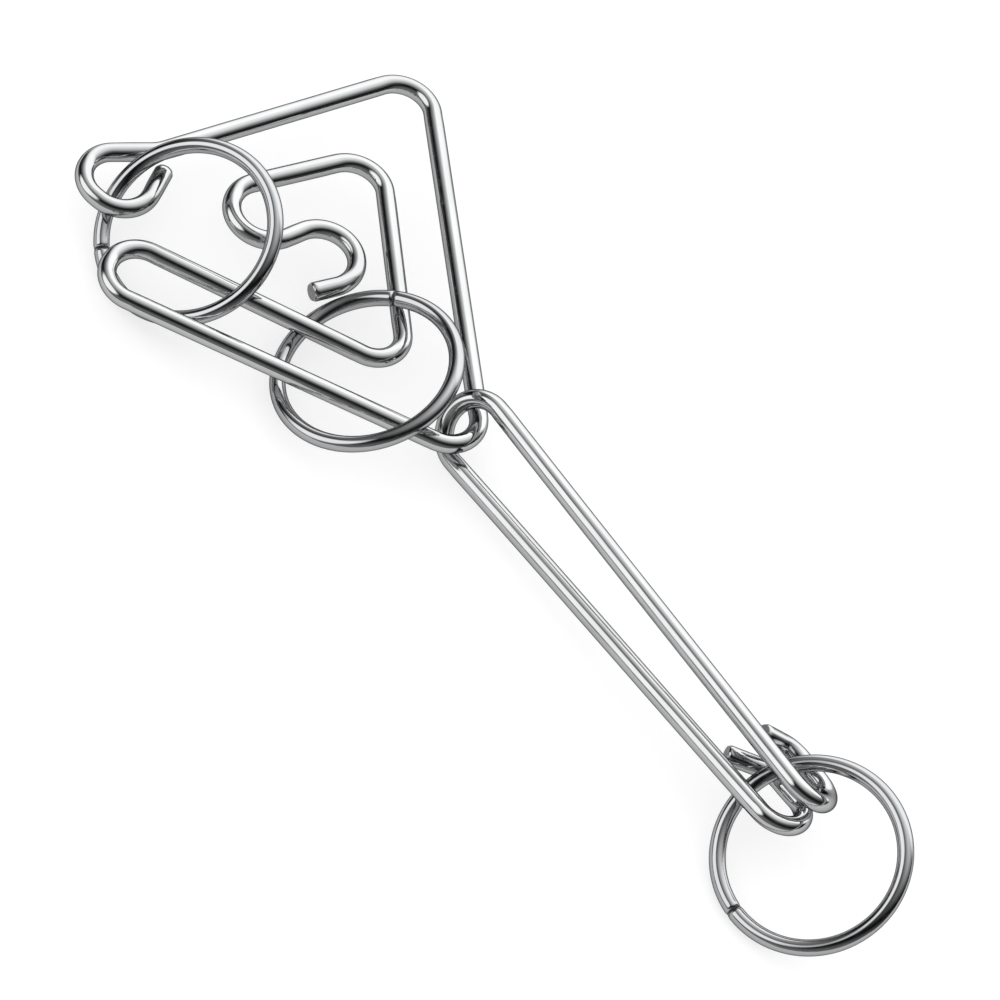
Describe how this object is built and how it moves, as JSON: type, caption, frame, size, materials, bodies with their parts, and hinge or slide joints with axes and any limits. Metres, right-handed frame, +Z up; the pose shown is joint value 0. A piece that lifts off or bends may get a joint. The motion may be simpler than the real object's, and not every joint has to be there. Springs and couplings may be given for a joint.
{
  "type": "metal ring disentanglement puzzle",
  "caption": "Chromed steel wire puzzle: a bent frame with an eye, slot and hook, loose rings threaded on it, and a hinged two-legged shuttle that carries a handle ring.",
  "frame": {"origin": "on the table, under the middle of the whole puzzle as it lies", "axes": "+X along the puzzle from the frame to the handle ring, +Z up from the table"},
  "size_m": [0.17, 0.0686, 0.0178],
  "materials": {
    "wire": "polished",
    "ring": "polished"
  },
  "bodies": {
    "frame": {"frame_wire": "wire"},
    "upper_ring": {"upper_ring": "ring"},
    "lower_ring": {"lower_ring": "ring"},
    "shuttle": {"shuttle_wire": "wire"},
    "handle": {"handle_ring": "ring"}
  },
  "joints": [
    {"name": "upper_ring_lift", "type": "hinge", "parent": "frame", "child": "upper_ring", "pos_m": [-0.07787, -0.01733, 0.00703], "axis": [0.9797, -0.2004, 0], "range_deg": [0, 90]},
    {"name": "lower_ring_lift", "type": "hinge", "parent": "frame", "child": "lower_ring", "pos_m": [-0.04099, -0.00351, 0.00703], "axis": [0.6494, -0.7604, 0], "range_deg": [0, 80]},
    {"name": "shuttle_swing", "type": "hinge", "parent": "frame", "child": "shuttle", "pos_m": [-0.01741, -0.00612, 0.00703], "axis": [0, 0, 1], "range_deg": [-8, 60]},
    {"name": "handle_ring_swing", "type": "hinge", "parent": "shuttle", "child": "handle", "pos_m": [0.05752, -0.01052, 0.00948], "axis": [-0.3426, -0.7982, -0.4954], "range_deg": [-35, 12]}
  ]
}
